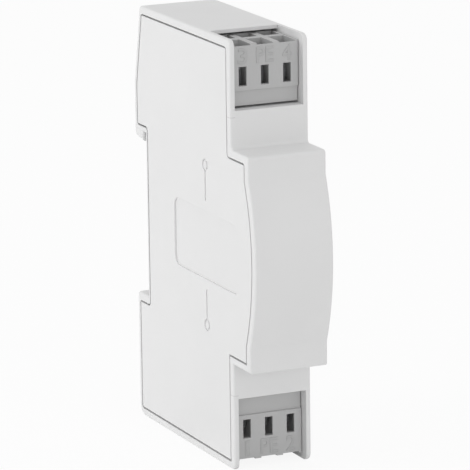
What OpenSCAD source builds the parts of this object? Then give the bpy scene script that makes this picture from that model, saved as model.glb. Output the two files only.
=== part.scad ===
// Surge arrester for signal lines, one module wide, that snaps onto a 35 mm rail.
// X runs to the right, the front faces -Y and Z is up.
// The origin is the middle of the seat that lies against the rail.

/* [Housing] */
// Width of the housing, one module
housing_w = 17.5; // [17:0.5:20]
// Height from end to end
housing_h = 90; // [88:1:96]
// Height of the nose that stands in front of the shoulders
nose_h = 45; // [44:0.5:47]
// Distance from the rail seat to the shoulders
shoulder_d = 44; // [43:0.5:47]
// Distance from the rail seat to the flats of the nose
nose_d = 52.3; // [51:0.1:56]
// How far the bowed front stands out from the flats
bow_rise = 3.2; // [1.5:0.1:4]
// Height of the bowed stretch
bow_h = 35; // [30:0.5:38]
// How far the housing reaches behind the rail seat
rear_d = 5.6; // [5.5:0.1:7]
// Thickness of the right wall and of the side cover
side_t = 1.15; // [1:0.05:1.3]
// Thickness of the front, top and bottom walls
rim_t = 1.55; // [1.3:0.05:1.7]
// Thickness of the wall at the rail seat
rear_t = 0.9; // [0.8:0.05:1]
// Thickness of the rear walls above and below the rail
back_t = 1.2; // [1:0.05:1.4]
// How far the top rear edge leans forwards
slant_d = 3.4; // [1:0.1:4]
// Height of the leaning stretch
slant_h = 17; // [10:0.5:20]
// Radius of the front corners at the top and bottom
corner_r = 1.5; // [0.5:0.1:2]
// Radius of the heel, the rear corner at the bottom
heel_r = 2.5; // [1:0.1:3]
// Radius of the edge under the upper shoulder and of the small corners
soft_r = 0.8; // [0.3:0.1:1]

/* [Rail seat] */
// Height of the rail
rail_h = 35; // [34.5:0.1:35.5]
// Thickness of the rail
rail_t = 1; // [0.8:0.1:1.2]
// Play above the upper edge of the rail
hook_play = 0.35; // [0.2:0.05:0.6]
// Play below the lower edge of the rail
lip_play = 0.2; // [0.1:0.05:0.8]
// Width of the slit behind the hook
slit_w = 1.4; // [1.2:0.05:2]
// How far the hook hangs down behind the rail
hook_drop = 1.95; // [1.5:0.05:3]
// How much the underside of the hook rises to the rear
hook_rise = 0.8; // [0.4:0.05:1.5]
// Thickness of the root of the hook
hook_root = 1.2; // [1:0.05:2]
// Thickness of the lip below the rail
lip_t = 1.65; // [1.2:0.05:2]

/* [Side cover] */
// Gap all round the cover
cover_gap = 0.4; // [0.15:0.05:0.5]
// Length of the sunk plaque
plaque_l = 32.4; // [26:0.2:34]
// Height of the sunk plaque
plaque_h = 14.5; // [10:0.5:16]
// Corner radius of the plaque
plaque_r = 2; // [1:0.1:3]
// Depth of the plaque
plaque_depth = 0.4; // [0.2:0.05:0.5]
// Distance from the rail seat to the middle of the plaque
plaque_d = 31; // [26:0.5:32]
// Width of the engraved lines
line_w = 0.4; // [0.3:0.05:0.6]
// Depth of the engraved lines
line_depth = 0.3; // [0.2:0.05:0.5]
// Length of the engraved leads above and below the plaque
lead_l = 6.6; // [4:0.2:8]
// Diameter of the engraved rings at the ends of the leads
ring_d = 2.6; // [2:0.1:3.4]
// Diameter of the pegs that hold the cover
peg_d = 2.4; // [2:0.1:2.8]
// Length of the pegs
peg_l = 5; // [3:0.5:7]
// Diameter of the posts that take the pegs
post_d = 5; // [4.5:0.1:5.5]

/* [Terminal blocks] */
// Distance between poles
pole_pitch = 4.95; // [4.6:0.05:5.2]
// Height of the upper opening in the front wall
bay_h = 14.55; // [14:0.05:16]
// How much taller the lower opening and its block are
bay_extra = 0.6; // [0:0.05:1]
// Depth of the opening in the top and bottom walls
bay_d = 12.1; // [11:0.1:13]
// Thickness of the wall left above the back of the block
lintel_t = 0.8; // [0.6:0.05:1]
// How far the block lies behind the shoulder
block_recess = 1.9; // [1.8:0.05:2.5]
// How far the block lies below the end of the housing
block_drop = 1.4; // [1.2:0.05:2]
// Depth of the block from its face to the board
block_d = 12.7; // [12.5:0.1:14]
// Thickness of the floor that the front wall turns into under the block
floor_t = 1.2; // [1:0.1:1.5]
// Slit between the block and the floor of the upper opening
floor_slit = 0.45; // [0.3:0.05:0.8]
// Side gap between the block and the housing
block_gap = 0.15; // [0.1:0.05:0.3]
// Height of the face above the seam
face_h = 9.6; // [9:0.1:10.5]
// Depth of the band below the seam
band_depth = 0.4; // [0.2:0.05:0.6]
// Width of an operating slot
slot_w = 1.7; // [1.2:0.05:2]
// Height of an operating slot
slot_h = 3.95; // [3:0.05:4.2]
// Thickness of the face at the slot
slot_land = 0.5; // [0.4:0.05:0.8]
// Distance from the end of the block to the slot
slot_drop = 4.65; // [4.5:0.05:5]
// Width of a wire pocket
pocket_w = 3.5; // [3.3:0.05:3.8]
// Depth of a wire pocket
pocket_h = 4; // [3:0.1:4.4]
// Depth of the front row of pockets from the face
front_row_d = 5.6; // [5:0.1:6]
// Thickness of the rib between the rows
row_rib = 1.6; // [1.2:0.1:2]
// How far the lip of a front pocket lies below the ribs
lip_drop = 0.25; // [0.2:0.05:0.8]
// Thickness of the walls of the block
block_wall = 1.2; // [1:0.05:1.4]
// Thickness of the underside of the block
block_base = 0.8; // [0.6:0.05:1]

/* [Clamps] */
// Thickness of the current bar
bar_t = 0.8; // [0.6:0.05:1]
// Width of the upright of the current bar
upright_w = 1.6; // [1.2:0.1:1.7]
// Height of the upright
upright_h = 7.4; // [7:0.1:8]
// Space for the wire between the board and the upright
wire_space = 3.2; // [3:0.1:3.4]
// Length of the foot of the current bar in front of the board
foot_l = 7.2; // [6.5:0.1:8]
// Width of the solder pin
pin_w = 1; // [0.8:0.05:1.2]
// Thickness of the clamp spring
spring_t = 0.35; // [0.25:0.05:0.45]
// Width of the clamp spring
spring_w = 2.6; // [2.4:0.05:2.8]
// Width of the window in the clamp spring
window_w = 1.9; // [1.8:0.05:2]
// Height of the clamp spring above the bar
spring_h = 5.5; // [5:0.1:6]
// Length of the clamp spring in front of the upright
spring_l = 5; // [4.5:0.1:5.5]
// How far the clamp spring reaches behind the upright
spring_tail = 0.9; // [0.7:0.05:1.2]

/* [Board and components] */
// Thickness of the circuit board
board_t = 1.6; // [1.4:0.1:2]
// Distance from the ends of the housing to the board
board_margin = 4; // [3:0.5:6]
// Diameter of the discharge tube
tube_d = 8; // [6:0.5:9]
// Length of the discharge tube
tube_l = 10; // [9:0.5:12]
// Diameter of a decoupling resistor
resistor_d = 3.6; // [2.5:0.1:4]
// Length of a decoupling resistor
resistor_l = 9; // [7:0.5:9.5]
// Diameter of a suppressor diode
diode_d = 3; // [2.5:0.1:3.8]
// Length of a suppressor diode
diode_l = 5.5; // [4:0.5:6]
// Diameter of the component leads
lead_d = 0.7; // [0.5:0.05:0.9]

/* [Rail latch] */
// Width of the latch
latch_w = 8; // [7:0.5:10]
// Thickness of the latch
latch_t = 2.9; // [2.6:0.05:2.95]
// Width of the catch that stands above the lip
catch_w = 6; // [4:0.5:6.5]
// How far the catch reaches up behind the rail
catch_h = 1.6; // [1:0.1:2]
// How much the catch slopes down to the rear
catch_slope = 1.5; // [1:0.1:2]
// Length of the latch above the spring window
latch_head = 7; // [5:0.5:9]
// Length of the latch below the spring window
latch_foot = 4.1; // [3.5:0.1:5]
// How far the latch ends above the bottom of the housing
latch_lift = 0.6; // [0.4:0.1:1]
// Diameter of the wire of the latch spring
wire_d = 0.4; // [0.3:0.05:0.5]
// Mean diameter of the latch spring
coil_d = 2.2; // [2:0.1:2.4]
// Turns of the latch spring
coil_turns = 8; // [6:1:9]

/* [Hidden] */
$fn = 48;
arc_steps = 6;
cut = 1;
pole_count = 3;

// Running and seating gaps
slide_gap = 0.2;
seat_gap = 0.05;
peg_fit = 0.05;
board_gap = 0.1;

// Housing planes
inner_x = housing_w / 2 - side_t;
end_z = housing_h / 2;
hook_top = rail_h / 2 + hook_play;
hook_low = hook_top - hook_drop;
jog_z = hook_top + hook_root;
lip_z = rail_h / 2 + lip_play;
bow_r = (bow_h * bow_h / 4 + bow_rise * bow_rise) / (2 * bow_rise);
bow_centre = bow_r - nose_d - bow_rise;

// Terminal block planes, for the upper block
block_front = block_recess - shoulder_d;
block_top = end_z - block_drop;
bay_z = end_z - bay_h;
block_low = bay_z + floor_slit;
block_seam = block_top - face_h;
block_w = 2 * (inner_x - block_gap);
front_row_rear = block_front + front_row_d;
rear_row_front = front_row_rear + row_rib;
chamber_front = block_front + block_wall;
chamber_floor = block_low + block_base;
chamber_roof = block_top - pocket_h;

// Circuit board
board_front = block_front + block_d;
board_rear = board_front + board_t;
board_w = 2 * (inner_x - block_gap);
board_h = housing_h - 2 * board_margin;
pin_stub = 1.5;
pin_hole = norm([pin_w, bar_t]) + 2 * board_gap;
lead_hole = lead_d + 2 * board_gap;
rib_reach = 1;
rib_t = 1.2;
rib_l = 5;
rib_clear = 2.15;
rib_far = bay_z - bay_extra - floor_t - rib_clear - rib_l / 2;
rib_z = [-rib_far, 0, rib_far];
seat_rib_setback = 3;

// Posts of the cover, as distance from the rail seat and height
post_inset = 3.3;
rear_post_d = 14;
post_at = [
    for (side = [1, -1]) each [
        [-rear_post_d, side * (end_z - rim_t - post_d - post_inset)],
        [rim_t + post_inset - nose_d, side * (nose_h / 2 - rim_t - post_inset)]
    ]
];

// Clamp spring and bar, in distance from the board and height above the chamber floor
seat_setback = 0.4;
spring_seat = wire_space + bar_t + seat_setback;
spring_front = wire_space + bar_t + spring_l;
spring_foot_z = bar_t + seat_gap + spring_t / 2;
spring_top_z = bar_t + spring_h;
loop_r = 1.6;
shoulder_r = 1.2;
window_front = 1.4;

// Components on the board
tube_z = -12;
tube_electrode = 0.9;
tube_step = 0.25;
resistor_cap = 1.4;
diode_cap = 0.8;
cap_rise = 0.25;
component_x = 3.5;
component_lift = 0.2;
component_gap = 1.25;
floor_clear = 2;
lead_bend = 0.8;
lead_reach = 1.2;
diode_z = bay_z - floor_t - floor_clear - lead_span(diode_l) / 2;
resistor_z = diode_z - component_gap - (lead_span(diode_l) + lead_span(resistor_l)) / 2;

// Rail latch
latch_front = rail_t + slide_gap;
latch_rear = latch_front + latch_t;
latch_stop_gap = 0.3;
latch_shoulder = -lip_z - lip_t - latch_stop_gap;
latch_low = latch_lift - end_z;
catch_top = catch_h - rail_h / 2;
catch_flat = 0.8;
latch_window_w = coil_d + wire_d + 3 * slide_gap;
latch_window_top = latch_shoulder - latch_head;
latch_window_low = latch_low + latch_foot;
seat_t = 1.5;
spring_seat_z = latch_window_low + 2 * slide_gap + seat_t;
tool_pocket = [4.4, 1.2, 2.4];

// Each end of the housing has its side and how much taller its opening is
BAYS = [[1, 0], [-1, bay_extra]];

// Each pole has its terminal number, its column and its end of the housing
POLES = [
    ["1", -1, -1], ["pe_lower", 0, -1], ["2", 1, -1],
    ["3", -1, 1], ["pe_upper", 0, 1], ["4", 1, 1]
];
SIDES = [["a", -1], ["b", 1]];

// Drawing helpers

function unit(v) = v / norm(v);

// Arc that rounds the corner at b, between a and c
function corner(a, b, c, r) =
    r <= 0 ? [b] :
    let (
        p = unit(a - b),
        q = unit(c - b),
        half = acos(p * q) / 2,
        middle = b + unit(p + q) * r / sin(half),
        first = b + p * r / tan(half) - middle,
        last = b + q * r / tan(half) - middle,
        start = atan2(first.y, first.x),
        turn = atan2(last.y, last.x) - start,
        sweep = turn > 180 ? turn - 360 : turn < -180 ? turn + 360 : turn
    )
    [for (i = [0:arc_steps]) let (t = start + sweep * i / arc_steps) middle + r * [cos(t), sin(t)]];

// Closed outline through pairs of a corner and its radius
function rounded(stops) =
    let (n = len(stops))
    [for (i = [0:n - 1])
        each corner(stops[(i + n - 1) % n][0], stops[i][0], stops[(i + 1) % n][0], stops[i][1])];

// Outline of a strip of even thickness along a line of points
function strip(line, t) =
    let (
        n = len(line),
        sides = [for (i = [0:n - 1])
            let (d = unit(line[min(i + 1, n - 1)] - line[max(i - 1, 0)])) [-d.y, d.x] * t / 2]
    )
    concat([for (i = [0:n - 1]) line[i] + sides[i]], [for (i = [n - 1:-1:0]) line[i] - sides[i]]);

module box(low, high) {
    translate(low) cube(high - low);
}

// Side profile, drawn in Y and Z, from one X to another
module across(from, to) {
    translate([from, 0, 0]) rotate([90, 0, 90]) linear_extrude(to - from) children();
}

module rounded_plate(size, r) {
    square([size.x - 2 * r, size.y], center = true);
    square([size.x, size.y - 2 * r], center = true);
    for (x = [-1, 1], y = [-1, 1]) translate([x * (size.x / 2 - r), y * (size.y / 2 - r)]) circle(r);
}

// The lower end mirrors the upper one
module at_end(side) {
    mirror([0, 0, side < 0 ? 1 : 0]) children();
}

module at_pole(pole) {
    at_end(pole[2]) translate([pole[1] * pole_pitch, 0, 0]) children();
}

// Housing

module bow(inset) {
    intersection() {
        translate([bow_centre, 0]) circle(bow_r - inset, $fn = 240);
        translate([-nose_d - bow_rise, -bow_h / 2]) square([bow_rise + 2 * rim_t, bow_h]);
    }
}

module housing_outline() {
    polygon(rounded([
        [[rear_d - slant_d, end_z], soft_r],
        [[rear_d, end_z - slant_h], 0],
        [[rear_d, hook_low + hook_rise], soft_r],
        [[slit_w, hook_low], 0],
        [[slit_w, hook_top], 0],
        [[0, hook_top], 0],
        [[0, -lip_z], 0],
        [[rear_d, -lip_z], soft_r * 3 / 4],
        [[rear_d, -end_z], heel_r],
        [[-shoulder_d, -end_z], corner_r],
        [[-shoulder_d, -nose_h / 2], 0],
        [[-nose_d, -nose_h / 2], 0],
        [[-nose_d, nose_h / 2], soft_r],
        [[-shoulder_d, nose_h / 2], soft_r],
        [[-shoulder_d, end_z], corner_r]
    ]));
    bow(0);
}

// Outline inside the walls, drawn in a further gap all round
module inner_outline(gap) {
    front = rim_t + gap;
    seat = rear_t + gap;
    back = back_t + gap;
    lean = slant_d / slant_h;
    tight = max(soft_r - gap, 0);
    polygon(rounded([
        [[rear_d - slant_d + lean * front - back * norm([1, lean]), end_z - front], tight],
        [[rear_d - back, end_z - slant_h], 0],
        [[rear_d - back, jog_z + gap], tight],
        [[-seat, jog_z + gap], soft_r + gap],
        [[-seat, -lip_z - lip_t - gap], soft_r + gap],
        [[rear_d - back, -lip_z - lip_t - gap], tight],
        [[rear_d - back, front - end_z], tight],
        [[front - shoulder_d, front - end_z], 0],
        [[front - shoulder_d, front - nose_h / 2], 0],
        [[front - nose_d, front - nose_h / 2], 0],
        [[front - nose_d, nose_h / 2 - front], tight],
        [[front - shoulder_d, nose_h / 2 - front], soft_r + gap],
        [[front - shoulder_d, end_z - front], tight]
    ]));
    bow(front);
}

// Opening for a terminal block, with the wall thinned above the back of the block
module terminal_bay(extra) {
    bay_rear = bay_d - shoulder_d;
    box([-inner_x, -shoulder_d - cut, bay_z - extra], [inner_x, bay_rear, end_z + cut]);
    box([-inner_x, bay_rear - cut, end_z - rim_t - cut], [inner_x, board_rear, end_z - lintel_t]);
}

// Floor of the opening, with two ribs that the block stands on
module bay_floor(extra) {
    rear = board_front - board_gap;
    level = bay_z - extra;
    box([-inner_x, rim_t / 2 - shoulder_d, level - floor_t], [inner_x + side_t / 2, rear, level]);
    for (side = [1, -1]) translate([side * pole_pitch / 2 - rib_t / 2, 0, 0])
        box(
            [0, block_front + seat_rib_setback, level - floor_t / 2],
            [rib_t, rear, block_low - extra - seat_gap]
        );
}

// Pair of ribs that holds the edge of the board, on the right wall
module board_ribs() {
    for (z = rib_z, y = [board_front - board_gap - rib_t, board_rear + board_gap])
        translate([inner_x - rib_reach, y, z - rib_l / 2]) cube([rib_reach + side_t / 2, rib_t, rib_l]);
}

module posts() {
    for (at = post_at)
        translate([-inner_x, at.x, at.y]) rotate([0, 90, 0])
            cylinder(d = post_d, h = 2 * inner_x + side_t / 2);
}

module peg_bores() {
    for (at = post_at)
        translate([-inner_x - cut, at.x, at.y]) rotate([0, 90, 0])
            cylinder(d = peg_d + 2 * peg_fit, h = peg_l + 2 * cut);
}

// Wall between the latch and the board space, with the seat of the latch spring
module latch_channel() {
    box([-inner_x, -rear_t, -end_z + rim_t / 2], [inner_x + side_t / 2, 0, -lip_z - lip_t / 2]);
    box([-coil_d / 2, -rear_t / 2, spring_seat_z - seat_t], [coil_d / 2, latch_rear - slide_gap, spring_seat_z]);
}

module latch_slots() {
    front = latch_front - slide_gap;
    rear = latch_rear + slide_gap;
    side = latch_w / 2 + slide_gap;
    catch_side = catch_w / 2 + slide_gap;
    box([-catch_side, front, -lip_z - lip_t - cut], [catch_side, rear, -lip_z + cut]);
    box([-side, front, -end_z - cut], [side, rear, rim_t + cut - end_z]);
}

module housing_shell() {
    color("#e4e4e4") difference() {
        union() {
            difference() {
                across(-housing_w / 2, housing_w / 2) housing_outline();
                across(-housing_w / 2 - cut, inner_x) inner_outline(0);
                for (end = BAYS) at_end(end[0]) terminal_bay(end[1]);
            }
            for (end = BAYS) at_end(end[0]) bay_floor(end[1]);
            board_ribs();
            posts();
            latch_channel();
        }
        peg_bores();
        latch_slots();
    }
}

// Side cover, with a sunk plaque between two engraved leads

module leads() {
    for (side = [1, -1]) mirror([0, side < 0 ? 1 : 0]) {
        translate([-line_w / 2, plaque_h / 2 + ring_d - line_w]) square([line_w, lead_l]);
        translate([0, plaque_h / 2 + lead_l + 1.5 * ring_d - 2 * line_w]) difference() {
            circle(d = ring_d);
            circle(d = ring_d - 2 * line_w);
        }
    }
}

module side_cover() {
    color("#e8e8e8") {
        difference() {
            across(-housing_w / 2, -inner_x) inner_outline(cover_gap);
            across(-housing_w / 2 - cut, plaque_depth - housing_w / 2) translate([-plaque_d, 0])
                rounded_plate([plaque_l, plaque_h], plaque_r);
            across(-housing_w / 2 - cut, line_depth - housing_w / 2) translate([-plaque_d, 0]) leads();
        }
        for (at = post_at)
            translate([-inner_x - side_t / 2, at.x, at.y]) rotate([0, 90, 0])
                cylinder(d = peg_d, h = side_t / 2 + peg_l);
        mirror([1, 0, 0]) board_ribs();
    }
}

// Terminal blocks

module pole_cuts() {
    half = pocket_w / 2;
    slot_top = block_top - slot_drop;
    slot_low = slot_top - slot_h;
    box([-half, chamber_front, chamber_floor], [half, board_front + cut, chamber_roof]);
    box([-half, chamber_front, chamber_roof - cut], [half, front_row_rear, block_top + cut]);
    box([-half, rear_row_front, chamber_roof - cut], [half, board_front - block_wall, block_top + cut]);
    box([-slot_w / 2, block_front - cut, slot_low], [slot_w / 2, chamber_front + cut, slot_top]);
    box([-half, block_front + slot_land, slot_low], [half, chamber_front + cut, slot_top]);
    across(-half, half) polygon([
        [block_front - cut, block_top + cut],
        [block_front - cut, block_top - lip_drop],
        [block_front, block_top - lip_drop],
        [chamber_front + cut, block_top - lip_drop - block_wall - cut],
        [chamber_front + cut, block_top + cut]
    ]);
}

module terminal_block(extra) {
    foot = block_low - extra;
    color("#aeaeae") difference() {
        box([-block_w / 2, block_front, foot], [block_w / 2, board_front, block_top]);
        box([-block_w, block_front - cut, foot - cut], [block_w, block_front + band_depth, block_seam]);
        for (pole = [0:pole_count - 1])
            translate([(pole - (pole_count - 1) / 2) * pole_pitch, 0, 0]) pole_cuts();
    }
}

module upper_terminal_block() {
    at_end(1) terminal_block(0);
}

module lower_terminal_block() {
    at_end(-1) terminal_block(bay_extra);
}

// Current bar: a foot on the chamber floor, an upright tongue and a solder pin
module contact_bar() {
    color("#c9b27a") translate([0, board_front, chamber_floor]) {
        box([-spring_w / 2, -foot_l, 0], [spring_w / 2, -board_gap, bar_t]);
        box([-upright_w / 2, -wire_space - bar_t, 0], [upright_w / 2, -wire_space, upright_h]);
        box([-pin_w / 2, -cut, 0], [pin_w / 2, board_t + pin_stub, bar_t]);
    }
}

// Clamp spring: a bent strip that stands on the bar, with a window over the upright
module clamp_spring() {
    seat = [-spring_seat, spring_foot_z];
    loop = [-spring_front, spring_foot_z];
    shoulder = [-spring_front, spring_top_z];
    tip = [spring_tail - wire_space, spring_top_z];
    line = concat([seat], corner(seat, loop, shoulder, loop_r), corner(loop, shoulder, tip, shoulder_r), [tip]);
    edge = seat_gap - wire_space;
    color("#d4d4d6") translate([0, board_front, chamber_floor]) difference() {
        across(-spring_w / 2, spring_w / 2) polygon(strip(line, spring_t));
        box(
            [-window_w / 2, shoulder_r + window_front - spring_front, spring_top_z - cut],
            [window_w / 2, edge, spring_top_z + cut]
        );
    }
}

// Circuit board and components

module drill(d) {
    translate([0, board_front - cut, 0]) rotate([-90, 0, 0]) cylinder(d = d, h = board_t + 2 * cut);
}

module circuit_board() {
    color("#3c6e47") difference() {
        box([-board_w / 2, board_front, -board_h / 2], [board_w / 2, board_rear, board_h / 2]);
        for (pole = POLES) at_pole(pole) translate([0, 0, chamber_floor + bar_t / 2]) drill(pin_hole);
        for (z = tube_leads()) translate([0, 0, z]) drill(lead_hole);
        for (side = SIDES, end = [1, -1]) translate([side[1] * component_x, 0, 0]) {
            translate([0, 0, resistor_z + end * lead_span(resistor_l) / 2]) drill(lead_hole);
            translate([0, 0, diode_z + end * lead_span(diode_l) / 2]) drill(lead_hole);
        }
    }
}

function lead_span(body_l) = body_l + 2 * (lead_reach + lead_bend);

function tube_leads() =
    [for (step = [-1, 0, 1]) tube_z + step * (tube_l - tube_electrode) / 2];

// Two ceramic rings between three electrodes, with a lead from each electrode
module gas_discharge_tube() {
    middle = board_front - tube_d / 2 - component_lift;
    color("#d9c9b4") {
        translate([0, middle, tube_z - tube_l / 2]) cylinder(d = tube_d - 2 * tube_step, h = tube_l);
        for (z = tube_leads()) {
            translate([0, middle, z - tube_electrode / 2]) cylinder(d = tube_d, h = tube_electrode);
            translate([0, middle, z]) rotate([-90, 0, 0])
                cylinder(d = lead_d, h = board_rear + pin_stub - middle);
        }
    }
}

// Body with two leads that bend down through the board
module axial_component(body_d, body_l, cap_l) {
    height = body_d / 2 + component_lift;
    span = lead_span(body_l);
    translate([0, board_front - height, 0]) {
        translate([0, 0, -body_l / 2]) cylinder(d = body_d - 2 * cap_rise, h = body_l);
        for (end = [1, -1]) at_end(end) {
            translate([0, 0, body_l / 2 - cap_l]) cylinder(d = body_d, h = cap_l);
            translate([0, 0, body_l / 2 - cap_l]) cylinder(d = lead_d, h = cap_l + lead_reach);
            translate([0, lead_bend, span / 2 - lead_bend]) rotate([90, 0, 90]) rotate(90)
                rotate_extrude(angle = 90) translate([lead_bend, 0]) circle(d = lead_d);
            translate([0, lead_bend, span / 2]) rotate([-90, 0, 0])
                cylinder(d = lead_d, h = height - lead_bend + board_t + pin_stub);
        }
    }
}

module decoupling_resistor(side) {
    color("#7d9bb5") translate([side * component_x, 0, resistor_z])
        axial_component(resistor_d, resistor_l, resistor_cap);
}

module suppressor_diode(side) {
    color("#2e2e30") translate([side * component_x, 0, diode_z])
        axial_component(diode_d, diode_l, diode_cap);
}

// Rail latch

module rail_latch() {
    middle = (latch_front + latch_rear) / 2;
    color("#a8a8a8") difference() {
        union() {
            box([-latch_w / 2, latch_front, latch_low], [latch_w / 2, latch_rear, latch_shoulder]);
            across(-catch_w / 2, catch_w / 2) polygon([
                [latch_front, latch_shoulder - cut],
                [latch_front, catch_top],
                [latch_front + catch_flat, catch_top],
                [latch_rear, catch_top - catch_slope],
                [latch_rear, latch_shoulder - cut]
            ]);
        }
        box(
            [-latch_window_w / 2, latch_front - cut, latch_window_low],
            [latch_window_w / 2, latch_rear + cut, latch_window_top]
        );
        translate([-tool_pocket.x / 2, middle - tool_pocket.y / 2, latch_low - cut])
            cube(tool_pocket + [0, 0, cut]);
    }
}

// Coil with closed end turns, as rings of points along the helix
module latch_spring() {
    sides = 6;
    steps = 12;
    low = spring_seat_z + wire_d / 2 + seat_gap;
    high = latch_window_top - wire_d / 2 - seat_gap;
    pitch = (high - low - 2 * wire_d) / (coil_turns - 2);
    count = coil_turns * steps;
    function height(turn) =
        turn < 1 ? low + turn * wire_d :
        turn > coil_turns - 1 ? high - (coil_turns - turn) * wire_d :
        low + wire_d + (turn - 1) * pitch;
    points = [
        for (i = [0:count], k = [0:sides - 1])
            let (a = 360 * i / steps, b = 360 * k / sides, r = coil_d / 2 + wire_d / 2 * cos(b))
            [r * cos(a), r * sin(a), height(i / steps) + wire_d / 2 * sin(b)]
    ];
    walls = [
        for (i = [0:count - 1], k = [0:sides - 1])
            let (a = i * sides + k, b = i * sides + (k + 1) % sides)
            [a, a + sides, b + sides, b]
    ];
    first = [for (k = [0:sides - 1]) k];
    last = [for (k = [sides - 1:-1:0]) count * sides + k];
    color("#c4c6c8") translate([0, (latch_front + latch_rear) / 2, 0])
        polyhedron(points, concat(walls, [first], [last]));
}

housing_shell();
side_cover();
upper_terminal_block();
lower_terminal_block();
for (pole = POLES) {
    at_pole(pole) clamp_spring();
    at_pole(pole) contact_bar();
}
circuit_board();
gas_discharge_tube();
for (side = SIDES) {
    decoupling_resistor(side[1]);
    suppressor_diode(side[1]);
}
rail_latch();
latch_spring();
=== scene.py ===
# Surge arrester for signal lines, one module wide, that snaps onto a 35 mm rail.
# The sections follow the pieces in the order in which the arrester is put together.

import math

import bmesh
import bpy
from mathutils import Matrix, Quaternion, Vector
from mathutils.geometry import intersect_point_line


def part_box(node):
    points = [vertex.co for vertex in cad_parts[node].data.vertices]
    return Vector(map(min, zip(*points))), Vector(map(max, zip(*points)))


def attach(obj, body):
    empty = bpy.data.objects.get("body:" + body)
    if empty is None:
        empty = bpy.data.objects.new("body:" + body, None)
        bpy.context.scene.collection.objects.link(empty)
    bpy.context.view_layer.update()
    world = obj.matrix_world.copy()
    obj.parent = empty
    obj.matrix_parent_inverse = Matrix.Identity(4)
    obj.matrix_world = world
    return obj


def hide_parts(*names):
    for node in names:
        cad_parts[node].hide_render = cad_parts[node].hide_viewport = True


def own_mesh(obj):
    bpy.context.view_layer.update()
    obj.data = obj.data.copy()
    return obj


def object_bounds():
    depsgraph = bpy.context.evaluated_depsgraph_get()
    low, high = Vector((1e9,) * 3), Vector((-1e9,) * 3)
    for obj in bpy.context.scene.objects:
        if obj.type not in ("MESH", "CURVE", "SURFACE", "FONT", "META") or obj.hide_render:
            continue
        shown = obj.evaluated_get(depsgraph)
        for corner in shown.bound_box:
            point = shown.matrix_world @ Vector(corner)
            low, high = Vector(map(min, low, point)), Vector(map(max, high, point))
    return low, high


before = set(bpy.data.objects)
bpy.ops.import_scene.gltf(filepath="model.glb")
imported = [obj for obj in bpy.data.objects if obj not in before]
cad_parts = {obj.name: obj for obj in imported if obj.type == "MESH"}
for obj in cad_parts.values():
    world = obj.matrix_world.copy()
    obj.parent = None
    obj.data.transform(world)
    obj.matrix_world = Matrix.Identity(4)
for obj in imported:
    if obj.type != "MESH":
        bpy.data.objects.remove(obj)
cad_low, cad_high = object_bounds()
MM = 0.001


# Housing shell: the right wall with the rim that runs all round it, one injection moulding in
# light grey polycarbonate with a fine spark-eroded grain. The mould rounds its outer edges, and
# the slides that form the terminal bays leave crisp edges and a faint seam beside them.

shell_low, shell_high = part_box("housing_shell")
latch_low, latch_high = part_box("rail_latch")
latch_slack = 1 * MM
rim_radius = 0.5 * MM
crisp_radius = 0.12 * MM
side_wall = 1.15 * MM
slide_seam_z = 29.1 * MM
slide_seam_h = 0.14 * MM
slide_seam_front = -42.4 * MM
slide_seam_strength = 0.3
slide_seam_level = 0.3
touching = 0.001 * MM
flat_turn = math.radians(0.5)
sharp_turn = math.radians(30)
crease_turn = math.radians(35)
grain_size = 0.25 * MM
grain_depth = 0.003 * MM
drift_size = 16 * MM
drift = 0.025
gloss_size = 6 * MM
satin_roughness = 0.45
gloss_drift = 0.1
grain_roughness = 0.06
housing_grey = (0.76, 0.76, 0.76)


def merged_copy(node):
    """Mesh of a CAD node with its loose triangles joined into flat faces."""
    work = bmesh.new()
    work.from_mesh(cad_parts[node].data)
    bmesh.ops.remove_doubles(work, verts=work.verts, dist=2 * touching)
    bmesh.ops.dissolve_limit(work, angle_limit=flat_turn, verts=work.verts, edges=work.edges)
    return work


def middle(edge):
    return (edge.verts[0].co + edge.verts[1].co) / 2


def sharp_edges(work):
    """Outward edges at which the surface turns sharply."""
    return [e for e in work.edges if e.calc_face_angle_signed(0) > sharp_turn]


def round_off(work, edges, radius, segments=2):
    """Rounds edges to a radius."""
    bmesh.ops.bevel(work, geom=edges, offset=radius, offset_type="OFFSET", segments=segments,
                    profile=0.5, affect="EDGES", clamp_overlap=False, material=-1)


def new_piece(work, name, material, replaced=(), body="housing"):
    """Object from a finished bmesh, riding on a body of the arrester."""
    mesh = bpy.data.meshes.new(name)
    work.to_mesh(mesh)
    work.free()
    # The normals stored with a CAD mesh don't fit its rounded copy.
    normals = mesh.attributes.get("custom_normal")
    if normals:
        mesh.attributes.remove(normals)
    mesh.materials.clear()
    mesh.materials.append(material)
    mesh.polygons.foreach_set("use_smooth", [True] * len(mesh.polygons))
    mesh.set_sharp_from_angle(angle=crease_turn)
    piece = bpy.data.objects.new(name, mesh)
    bpy.context.scene.collection.objects.link(piece)
    shading = piece.modifiers.new("even_shading", "WEIGHTED_NORMAL")
    shading.keep_sharp = True
    shading.weight = 100
    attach(piece, body)
    if replaced:
        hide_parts(*replaced)
    return piece


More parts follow.
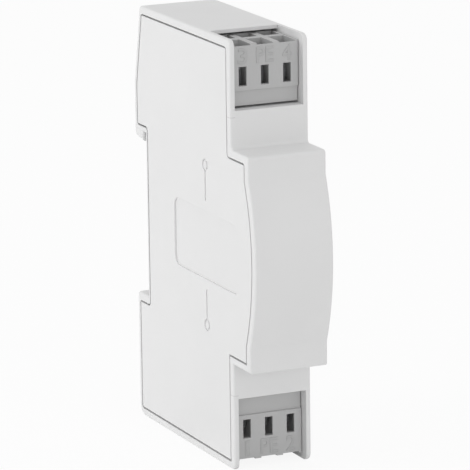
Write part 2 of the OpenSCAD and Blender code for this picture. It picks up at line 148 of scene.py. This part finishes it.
class Field:
    """A node's output, such as a value that varies over a surface. Its operators add Math nodes."""

    def __init__(self, socket):
        self.socket = socket
        self.tree = socket.id_data

    @classmethod
    def make(cls, tree, kind, settings=None, sockets=None, output=0):
        """Adds a node, sets its settings and then its sockets, and gives one of its outputs."""
        node = tree.nodes.new(kind)
        for name, value in (settings or {}).items():
            setattr(node, name, value)
        for name, value in (sockets or {}).items():
            if isinstance(value, cls):
                tree.links.new(value.socket, node.inputs[name])
            else:
                node.inputs[name].default_value = value
        return cls(node.outputs[output])

    def math(self, operation, first, second=0.0):
        return self.make(self.tree, "ShaderNodeMath", {"operation": operation}, {0: first, 1: second})

    def __add__(self, other):
        return self.math("ADD", self, other)

    __radd__ = __add__

    def __sub__(self, other):
        return self.math("SUBTRACT", self, other)

    def __rsub__(self, other):
        return self.math("SUBTRACT", other, self)

    def __mul__(self, other):
        return self.math("MULTIPLY", self, other)

    __rmul__ = __mul__

    def __abs__(self):
        return self.math("ABSOLUTE", self)

    def __lt__(self, other):
        return self.math("LESS_THAN", self, other)

    def __gt__(self, other):
        return self.math("GREATER_THAN", self, other)

    def __or__(self, other):
        return self.math("MAXIMUM", self, other)


def new_finish(name, **constants):
    """Material with its uniform values set, its shader node and its place on the surface."""
    material = bpy.data.materials.new(name)
    material.use_nodes = True
    tree = material.node_tree
    shader = tree.nodes["Principled BSDF"]
    for socket, value in constants.items():
        shader.inputs[socket.replace("_", " ")].default_value = value
    return material, shader, Field.make(tree, "ShaderNodeTexCoord", output="Object")


def feed(shader, socket, field):
    field.tree.links.new(field.socket, shader.inputs[socket])


def axes(place):
    """The place as its three separate numbers."""
    split = Field.make(place.tree, "ShaderNodeSeparateXYZ", None, {"Vector": place})
    return [Field(socket) for socket in split.socket.node.outputs]


def noise(place, size, detail=2.0):
    """Cloudy value from 0 to 1 whose patches are about size metres wide."""
    sockets = {"Vector": place, "Scale": 1 / size, "Detail": detail}
    return Field.make(place.tree, "ShaderNodeTexNoise", None, sockets)


def shade(colour, level=1.0):
    """Colour with its alpha, at some level of its brightness."""
    return (*(min(1, c * level) for c in colour), 1)


def tint(share, low, high):
    """Colour that goes from low to high with the share."""
    ends = {"Factor": share, 6: low, 7: high}
    return Field.make(share.tree, "ShaderNodeMix", {"data_type": "RGBA"}, ends, output=2)


def relief(height, depth):
    """Normal of a surface whose relief is depth metres."""
    return Field.make(height.tree, "ShaderNodeBump", None, {"Height": height, "Distance": depth})


def moulded_plastic(name, colour, seam=None):
    """Satin moulding: spark-eroded grain, a slow drift of shade and gloss, and perhaps a seam."""
    material, shader, place = new_finish(name, IOR=1.5)
    grain = noise(place, grain_size, detail=1)
    cloud = noise(place, drift_size, detail=3)
    skin = tint(cloud, shade(colour, 1 - drift), shade(colour, 1 + drift))
    if seam:
        skin = tint(slide_seam_strength * seam(*axes(place)), skin, shade(colour, slide_seam_level))
    feed(shader, "Base Color", skin)
    gloss = gloss_drift * noise(place, gloss_size)
    feed(shader, "Roughness", satin_roughness + gloss + grain_roughness * grain)
    feed(shader, "Normal", relief(grain, grain_depth))
    return material


def slide_seam(x, y, z):
    """Line across the left rim beside each terminal bay, where the slide meets the mould."""
    on_rim = (x < shell_low.x + side_wall) * (y < slide_seam_front)
    return on_rim * (abs(abs(z) - slide_seam_z) < slide_seam_h / 2)


housing_plastic = moulded_plastic("housing_plastic", housing_grey, slide_seam)

work = merged_copy("housing_shell")
right_edges = [e for e in sharp_edges(work) if middle(e).x > shell_high.x - touching]
outline = [[v.co.yz for v in e.verts] for e in right_edges]


def on_skin(edge):
    """Whether an edge lies on the outer skin, which is the outline seen from the side."""
    at = middle(edge).yz
    for start, end in outline:
        foot, share = intersect_point_line(at, start, end)
        if 0 <= share <= 1 and (foot - at).length < touching:
            return True
    return False


def on_flank(edge):
    return min(middle(edge).x - shell_low.x, shell_high.x - middle(edge).x) < touching


def at_latch_mouth(edge):
    """Whether an edge bounds the latch's way out of the foot, whose rear land is too thin to round."""
    at = middle(edge)
    beside = abs(at.x) < latch_high.x + latch_slack and at.y > latch_low.y - latch_slack
    return beside and at.z < latch_low.z


rim = [e for e in sharp_edges(work) if on_skin(e) and on_flank(e)]
round_off(work, rim, rim_radius, segments=5)
crisp = [e for e in sharp_edges(work) if on_skin(e) and not at_latch_mouth(e)]
round_off(work, crisp, crisp_radius)
new_piece(work, "housing", housing_plastic, ["housing_shell"])


# Rail latch: a slide of grey polyamide in the channel behind the rail seat. Its catch grips the
# lower edge of the rail, and a screwdriver in the pocket at its foot pulls it down.

latch_radius = 0.2 * MM
latch_grey = (0.36, 0.36, 0.37)

latch_plastic = moulded_plastic("latch_plastic", latch_grey)
work = merged_copy("rail_latch")
round_off(work, sharp_edges(work), latch_radius, segments=3)
new_piece(work, "latch", latch_plastic, ["rail_latch"], body="rail_latch")


# Latch spring: a compression spring of drawn steel wire with closed end turns. It stands on the
# seat in the latch's window and pushes the latch up, so it shortens as the latch is pulled down.

coil_low, coil_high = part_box("latch_spring")
wire_radius = 0.2 * MM
wire_sides = 10
turn_steps = 28
open_turns = 6
drawn_line = 0.08 * MM
drawn_depth = 0.002 * MM
drawn_roughness = 0.12
sheen_size = 3 * MM
sheen_levels = (0.9, 1.05)
steel_grey = (0.60, 0.61, 0.63)


def stretched(place, *factors):
    """Place with its axes scaled, so that a pattern on it is drawn out along the small ones."""
    sockets = {0: place, 1: factors}
    return Field.make(place.tree, "ShaderNodeVectorMath", {"operation": "MULTIPLY"}, sockets)


def rolled_metal(name, colour, streaks, roughness):
    """Bright metal with fine drawing or rolling lines and a slow change of gloss."""
    material, shader, place = new_finish(name, Metallic=1.0)
    lines = noise(stretched(place, *streaks), drawn_line)
    dull, bright = (shade(colour, level) for level in sheen_levels)
    feed(shader, "Base Color", tint(noise(place, sheen_size), dull, bright))
    feed(shader, "Roughness", roughness + drawn_roughness * lines)
    feed(shader, "Normal", relief(lines, drawn_depth))
    return material


spring_steel = rolled_metal("spring_steel", steel_grey, streaks=(1, 0.05, 0.05), roughness=0.24)

coil_middle = (coil_low + coil_high) / 2
coil_radius = (coil_high.x - coil_low.x) / 2 - wire_radius
first_z = coil_low.z + wire_radius
last_z = coil_high.z - wire_radius
closed_pitch = 2 * wire_radius
open_pitch = (last_z - first_z - 2 * closed_pitch) / open_turns
upright = Matrix.Rotation(math.radians(90), 4, "X")

work = bmesh.new()
bmesh.ops.create_circle(work, segments=wire_sides, radius=wire_radius,
                        matrix=Matrix.Translation((coil_radius, coil_middle.y, first_z)) @ upright)
ring = list(work.verts) + list(work.edges)
for turns, pitch in ((1, closed_pitch), (open_turns, open_pitch), (1, closed_pitch)):
    swept = bmesh.ops.spin(work, geom=ring, cent=(0, coil_middle.y, 0), axis=(0, 0, 1),
                           dvec=(0, 0, pitch / turn_steps), angle=math.tau * turns,
                           steps=turns * turn_steps)
    ring = swept["geom_last"]
bmesh.ops.holes_fill(work, edges=[e for e in work.edges if e.is_boundary])
bmesh.ops.recalc_face_normals(work, faces=work.faces)
coil = new_piece(work, "latch_coil", spring_steel, ["latch_spring"])
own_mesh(coil)


# Terminal blocks: a grey polyamide moulding at each end, with two rows of wire pockets and a slot
# in front of each pole for the blade that opens its clamp. The pole marks are raised on the face,
# and their darker grey is painted shade, so that the strokes look shaded. Their type is drawn in
# millimetres.

block_radius = 0.1 * MM
block_grey = (0.475, 0.475, 0.475)
# Painted shade: the marks' grey is darker than the block's so that their strokes look shaded.
mark_painted_shade_grey = (0.44, 0.44, 0.44)
pole_pitch = 4.95 * MM
mark_widths = {"1": 1.1 * MM, "2": 2.1 * MM, "3": 2.2 * MM, "4": 2.1 * MM, "PE": 3.9 * MM}
mark_height = 3.3 * MM
mark_inset = 0.8 * MM
type_size = 4.5
type_rise = 0.16
type_edge = 0.15
type_bold = 0.1
type_grain = 0.04

block_plastic = moulded_plastic("block_plastic", block_grey)
# The marks' finish carries the painted shade of their darker grey.
mark_painted_shade_plastic = moulded_plastic("mark_painted_shade_plastic", mark_painted_shade_grey)


def cast_mark(text, foot):
    """Soft-edged lettering in one skin that faces the front, with the middle of its foot at foot."""
    curve = bpy.data.curves.new(text, "FONT")
    curve.body = text
    curve.size = type_size
    curve.extrude = type_rise - type_edge
    curve.bevel_depth = type_edge
    curve.bevel_resolution = 2
    curve.offset = type_bold - type_edge
    stamp = bpy.data.objects.new(text, curve)
    bpy.context.scene.collection.objects.link(stamp)
    one_skin = stamp.modifiers.new("one_skin", "REMESH")
    one_skin.mode = "VOXEL"
    one_skin.voxel_size = type_grain
    cast = stamp.evaluated_get(bpy.context.evaluated_depsgraph_get())
    letters = bpy.data.meshes.new_from_object(cast)
    bpy.data.objects.remove(stamp)
    left, right = (pick(v.co.x for v in letters.vertices) for pick in (min, max))
    low, high = (pick(v.co.y for v in letters.vertices) for pick in (min, max))
    fit = Matrix.Diagonal((mark_widths[text] / (right - left), mark_height / (high - low), MM, 1))
    to_foot = Matrix.Translation((-(left + right) / 2, -low, 0))
    letters.transform(Matrix.Translation(foot) @ upright @ fit @ to_foot)
    return letters


for end, marks in (("upper", ("3", "PE", "4")), ("lower", ("1", "PE", "2"))):
    node = f"{end}_terminal_block"
    block_low, block_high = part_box(node)
    work = merged_copy(node)
    round_off(work, sharp_edges(work), block_radius)
    new_piece(work, f"{end}_terminals", block_plastic, [node])

    foot_z = block_high.z - mark_inset - mark_height if end == "upper" else block_low.z + mark_inset
    work = bmesh.new()
    for column, text in zip((-1, 0, 1), marks):
        work.from_mesh(cast_mark(text, (column * pole_pitch, block_low.y, foot_z)))
    bmesh.ops.remove_doubles(work, verts=work.verts, dist=touching)
    bmesh.ops.recalc_face_normals(work, faces=work.faces)
    new_piece(work, f"{end}_marks", mark_painted_shade_plastic)


# Contact bars and clamp springs: each pole has a stamped bar of tinned brass, soldered to the
# board, and a bent strip of spring steel whose window pulls the wire against the bar's tongue.

poles = ("1", "pe_lower", "2", "3", "pe_upper", "4")
strip_radius = 0.05 * MM
tin_grey = (0.72, 0.71, 0.67)

tinned_brass = rolled_metal("tinned_brass", tin_grey, streaks=(1, 0.1, 0.1), roughness=0.34)
for pole in poles:
    work = merged_copy(f"contact_bar_{pole}")
    round_off(work, sharp_edges(work), strip_radius)
    new_piece(work, f"bar_{pole}", tinned_brass, [f"contact_bar_{pole}"])
    work = merged_copy(f"clamp_spring_{pole}")
    round_off(work, sharp_edges(work), strip_radius)
    new_piece(work, f"clamp_{pole}", spring_steel, [f"clamp_spring_{pole}"],
              body=f"clamp_{pole}")


# Circuit board: a strip of glass-fibre laminate with copper tracks under green solder mask. It
# stands in the ribs of the shell and the cover, and joins the poles to the protection parts.

_, board_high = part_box("circuit_board")
mask_green = (0.018, 0.10, 0.04)
track_green = (0.035, 0.17, 0.06)
laminate_tan = (0.42, 0.36, 0.17)
track_half = 0.7 * MM
link_half = 0.5 * MM
track_rise = 0.03 * MM
weave_size = 0.3 * MM
weave_share = 0.3
mask_roughness = 0.28
cut_roughness = 0.4
weave_roughness = 0.08
lead_radius = 0.35 * MM
bar_thick = 0.8 * MM
bar_pin_radius = 0.64 * MM
tube_electrode = 0.9 * MM


def dress(node, material):
    """Gives a CAD piece whose shape is right its finish."""
    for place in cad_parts[node].material_slots:
        place.material = material


def pin_places():
    """Where the pins and leads come through the board, each as its x, its z and its radius."""
    for pole in poles:
        low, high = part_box(f"contact_bar_{pole}")
        z = high.z - bar_thick / 2 if high.z < 0 else low.z + bar_thick / 2
        yield (low.x + high.x) / 2, z, bar_pin_radius
    low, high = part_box("gas_discharge_tube")
    for z in (low.z + tube_electrode / 2, (low.z + high.z) / 2, high.z - tube_electrode / 2):
        yield 0.0, z, lead_radius
    for kind in ("decoupling_resistor", "suppressor_diode"):
        for side in ("a", "b"):
            low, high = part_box(f"{kind}_{side}")
            for z in (low.z + lead_radius, high.z - lead_radius):
                yield (low.x + high.x) / 2, z, lead_radius


pins = list(pin_places())
pin_heights = [height for aside, height, radius in pins]
solder_mask, shader, place = new_finish("solder_mask", Metallic=0.0, IOR=1.5)
x, _, z = axes(place)
run = abs(z) < max(pin_heights)
track = run * ((abs(x) < track_half) | (abs(abs(x) - pole_pitch) < track_half))
for height in sorted({round(height, 5) for height in pin_heights}):
    track = track | ((abs(z - height) < link_half) * (abs(x) < pole_pitch))
cut = (abs(x) > board_high.x - touching) | (abs(z) > board_high.z - touching)
weave = noise(stretched(place, 1, 1, 0.2), weave_size)
green = tint(track, shade(mask_green), shade(track_green))
feed(shader, "Base Color", tint(cut, green, shade(laminate_tan)))
feed(shader, "Roughness", mask_roughness + cut_roughness * cut + weave_roughness * weave)
feed(shader, "Normal", relief(track + weave_share * weave, track_rise))
dress("circuit_board", solder_mask)


# Solder joints: a cone of bright tin round each pin and lead on the rear of the board, drawn up
# the wire as the solder cools.

solder_steps = 16
solder_rings = 5
solder_spread = 0.25 * MM
solder_height = 1.2 * MM
solder_tip = 0.06 * MM
solder_grey = (0.7, 0.7, 0.69)

solder_tin = rolled_metal("solder_tin", solder_grey, streaks=(1, 1, 1), roughness=0.2)
work = bmesh.new()
for x, z, radius in pins:
    rise = [ring / solder_rings for ring in range(solder_rings + 1)]
    profile = [(radius + solder_spread * (1 - t) ** 3, solder_height * t) for t in rise]
    profile.append((0, solder_height + solder_tip))
    stops = [work.verts.new((x + r, board_high.y + h, z)) for r, h in profile]
    lines = [work.edges.new(pair) for pair in zip(stops, stops[1:])]
    bmesh.ops.spin(work, geom=stops + lines, cent=(x, 0, z), axis=(0, 1, 0), dvec=(0, 0, 0),
                   angle=math.tau, steps=solder_steps, use_merge=True)
bmesh.ops.remove_doubles(work, verts=work.verts, dist=touching)
bmesh.ops.holes_fill(work, edges=[e for e in work.edges if e.is_boundary])
bmesh.ops.recalc_face_normals(work, faces=work.faces)
new_piece(work, "solder_joints", solder_tin)


# Discharge tube: two glazed ceramic rings brazed between three nickel electrodes. It carries a
# surge to earth, and its leads are soldered into the board.

tube_low, tube_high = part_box("gas_discharge_tube")
electrode_step = 0.25 * MM
glaze_size = 1.5 * MM
glaze_depth = 0.01 * MM
glaze_roughness = 0.16
nickel_roughness = 0.14
cloud_roughness = 0.08
ceramic_cream = (0.74, 0.66, 0.55)
nickel_grey = (0.62, 0.60, 0.56)

glazed_ceramic, shader, place = new_finish("glazed_ceramic", IOR=1.5)
x, y, z = axes(place)
tube_radius = (tube_high.x - tube_low.x) / 2
drop = y - (tube_low.y + tube_radius)
along = z - (tube_low.z + tube_high.z) / 2
near_end = abs(along) > (tube_high.z - tube_low.z) / 2 - touching
metal = (x * x + drop * drop > (tube_radius - electrode_step / 2) ** 2) | near_end
cloud = noise(place, glaze_size)
feed(shader, "Base Color", tint(metal, shade(ceramic_cream), shade(nickel_grey)))
feed(shader, "Metallic", metal)
feed(shader, "Roughness", glaze_roughness + nickel_roughness * metal + cloud_roughness * cloud)
feed(shader, "Normal", relief(cloud, glaze_depth))
dress("gas_discharge_tube", glazed_ceramic)


# Resistors and suppressor diodes: two of each stand side by side on the board. The resistors are
# lacquered over their end caps and banded, the diodes are cast in black epoxy with one band.

lacquer_blue = (0.20, 0.37, 0.48)
epoxy_black = (0.018, 0.018, 0.02)
band_brown = (0.12, 0.045, 0.02)
band_black = (0.01, 0.01, 0.01)
band_gold = (0.45, 0.30, 0.09)
band_grey = (0.5, 0.5, 0.5)
band_half = 0.38 * MM
lead_reach = 2.0 * MM
body_margin = 1.02
speckle_size = 0.6 * MM
speckle_roughness = 0.1
dimple_size = 0.5 * MM
dimple_depth = 0.01 * MM


def axial_part(kind, colour, roughness, bands):
    """Finish of a pair of parts: a coloured body with bands at given heights, and tinned leads."""
    low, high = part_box(f"{kind}_b")
    material, shader, place = new_finish(f"{kind}_finish", IOR=1.5)
    x, y, z = axes(place)
    radius = (high.x - low.x) / 2
    aside = abs(x) - (low.x + high.x) / 2
    drop = y - (low.y + radius)
    along = z - (low.z + high.z) / 2
    body_half = (high.z - low.z) / 2 - lead_reach - lead_radius
    beyond = aside * aside + drop * drop > (body_margin * radius) ** 2
    lead = beyond | (abs(along) > body_half)
    skin = shade(colour)
    for height, band in bands:
        skin = tint(abs(along - height * MM) < band_half, skin, shade(band))
    feed(shader, "Base Color", tint(lead, skin, shade(tin_grey)))
    feed(shader, "Metallic", lead)
    feed(shader, "Roughness", roughness + speckle_roughness * noise(place, speckle_size))
    feed(shader, "Normal", relief(noise(place, dimple_size), dimple_depth))
    for side in ("a", "b"):
        dress(f"{kind}_{side}", material)


resistor_bands = ((-2.6, band_brown), (-1.1, band_black), (0.4, band_black), (2.6, band_gold))
diode_bands = ((1.6, band_grey),)
axial_part("decoupling_resistor", lacquer_blue, roughness=0.22, bands=resistor_bands)
axial_part("suppressor_diode", epoxy_black, roughness=0.4, bands=diode_bands)


# Side cover: the left wall, a flat moulding of the same plastic that lies flush inside the rim.
# Its pegs press into the posts of the shell, and its face has a sunk plaque and two engraved leads.

cover_low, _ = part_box("side_cover")
cover_radius = 0.05 * MM
engraved_radius = 0.1 * MM
engraved_depth = 0.4 * MM
cover_grey = (0.76, 0.76, 0.76)

cover_plastic = moulded_plastic("cover_plastic", cover_grey)
work = merged_copy("side_cover")


def wall_depth(edge):
    """How far the walls beside an edge of the outer face reach inwards."""
    return max(v.co.x for face in edge.link_faces for v in face.verts) - cover_low.x


def face_edges(engraved):
    """Sharp edges of the outer face, either those of the engraving or those of the border."""
    face = [e for e in sharp_edges(work) if middle(e).x < cover_low.x + touching]
    return [e for e in face if (wall_depth(e) < engraved_depth + touching) == engraved]


round_off(work, face_edges(engraved=False), cover_radius, segments=3)
round_off(work, face_edges(engraved=True), engraved_radius)
new_piece(work, "cover", cover_plastic, ["side_cover"])


# Floor and backdrop: a wide sheet of matt white board, a hair under the foot. It isn't part of
# the arrester. It looks nearly white all over and keeps a soft shadow.

floor_half = 4.0
floor_share = 0.9
foot_gap = 0.02 * MM
floor_white = (0.92, 0.92, 0.92)

work = bmesh.new()
bmesh.ops.create_grid(work, x_segments=1, y_segments=1, size=floor_half,
                      matrix=Matrix.Translation((0, 0, shell_low.z - foot_gap)))
mesh = bpy.data.meshes.new("floor")
work.to_mesh(mesh)
work.free()
floor = bpy.data.objects.new("floor", mesh)
bpy.context.scene.collection.objects.link(floor)

seen_by = ("Is Camera Ray", "Is Glossy Ray", "Is Transmission Ray")


def plainly_seen(tree):
    """1 for the rays that show the background, which are the camera's, mirrored and bent ones."""
    return sum(Field.make(tree, "ShaderNodeLightPath", output=ray) for ray in seen_by)


floor_paint, shader, _ = new_finish("floor_paint", Roughness=0.9, Base_Color=shade(floor_white))
tree = floor_paint.node_tree
layers = {
    0: plainly_seen(tree) * floor_share,
    1: Field(shader.outputs[0]),
    2: Field.make(tree, "ShaderNodeEmission"),
}
blend = Field.make(tree, "ShaderNodeMixShader", None, layers)
feed(tree.nodes["Material Output"], "Surface", blend)
mesh.materials.append(floor_paint)


# Studio light: an even white room with three large soft lamps, the strongest on the left, one in
# front and a weak one above, so that the left side is the lightest and the front a little darker.

room_level = 0.66
lamp_size = 0.8

world = bpy.data.worlds.new("studio")
bpy.context.scene.world = world
world.use_nodes = True
background = world.node_tree.nodes["Background"]
background.inputs["Color"].default_value = (1, 1, 1, 1)
feed(background, "Strength", room_level + (1 - room_level) * plainly_seen(world.node_tree))

object_middle = (cad_low + cad_high) / 2


def soft_lamp(name, away, power):
    """Square lamp that stands off the object by away metres and faces it."""
    lamp = bpy.data.lights.new(name, "AREA")
    lamp.size = lamp_size
    lamp.energy = power
    stand = bpy.data.objects.new(name, lamp)
    stand.location = object_middle + Vector(away)
    stand.rotation_mode = "QUATERNION"
    stand.rotation_quaternion = (-Vector(away)).to_track_quat("-Z", "Y")
    bpy.context.scene.collection.objects.link(stand)


soft_lamp("left_lamp", away=(-1.2, 0.35, 0.1), power=7.8)
soft_lamp("front_lamp", away=(0, -1.3, 0.1), power=3.6)
soft_lamp("top_lamp", away=(0, 0, 1.3), power=1.5)


# Camera: a long lens about 0.9 m away, to the front left and a little above. Its angles, lens and
# target are a fit to the corners of the housing in the photograph, without any shift of the lens.

view_azimuth = -24.1638
view_elevation = 13.1844
view_roll = -0.7511
view_lens = 313.74
view_sensor = 36
view_near = 0.1
view_far = 20
view_distance = 875.52 * MM
view_target = Vector((9.3055, -5.476, -5.0672)) * MM

azimuth = math.radians(view_azimuth)
elevation = math.radians(view_elevation)
back = Vector((math.sin(azimuth) * math.cos(elevation),
               -math.cos(azimuth) * math.cos(elevation),
               math.sin(elevation)))
camera = bpy.data.objects.new("camera", bpy.data.cameras.new("camera"))
camera.data.lens = view_lens
camera.data.sensor_width = view_sensor
camera.data.clip_start = view_near
camera.data.clip_end = view_far
camera.location = view_target + back * view_distance
camera.rotation_mode = "QUATERNION"
roll = Quaternion((0, 0, 1), math.radians(view_roll))
camera.rotation_quaternion = (-back).to_track_quat("-Z", "Y") @ roll
bpy.context.scene.collection.objects.link(camera)
bpy.context.scene.camera = camera
bpy.context.scene.view_settings.view_transform = "Standard"
